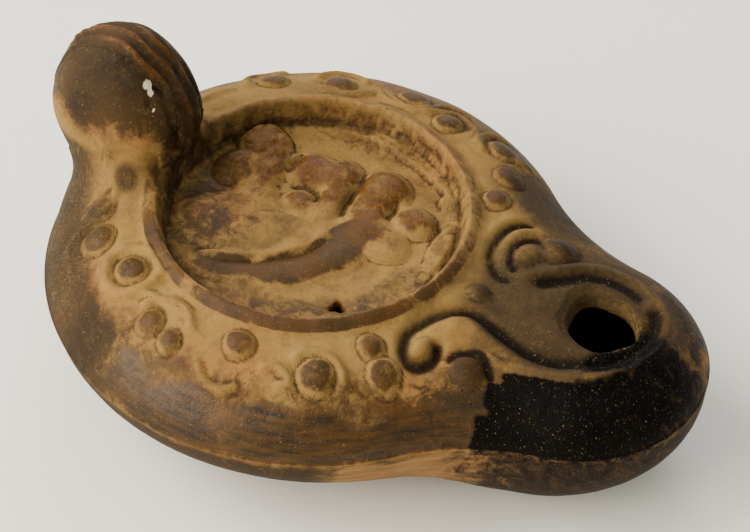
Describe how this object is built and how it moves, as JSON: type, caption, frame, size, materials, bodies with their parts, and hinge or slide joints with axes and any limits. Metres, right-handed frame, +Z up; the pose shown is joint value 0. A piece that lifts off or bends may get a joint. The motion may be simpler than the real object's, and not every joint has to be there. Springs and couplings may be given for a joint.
{
  "type": "roman oil lamp",
  "caption": "Hollow mould-made clay oil lamp with a round relief discus, voluted nozzle with a wick hole, and a solid lug handle.",
  "frame": {"origin": "centre of the flat underside, below the middle of the discus", "axes": "+X towards the nozzle, +Z up, the handle on -X"},
  "size_m": [0.1274, 0.097, 0.06],
  "materials": {
    "fired_clay": "worn brown slip over dusty buff clay, soot on the nozzle"
  },
  "bodies": {
    "root": {"lamp_body": "fired_clay"}
  },
  "joints": []
}
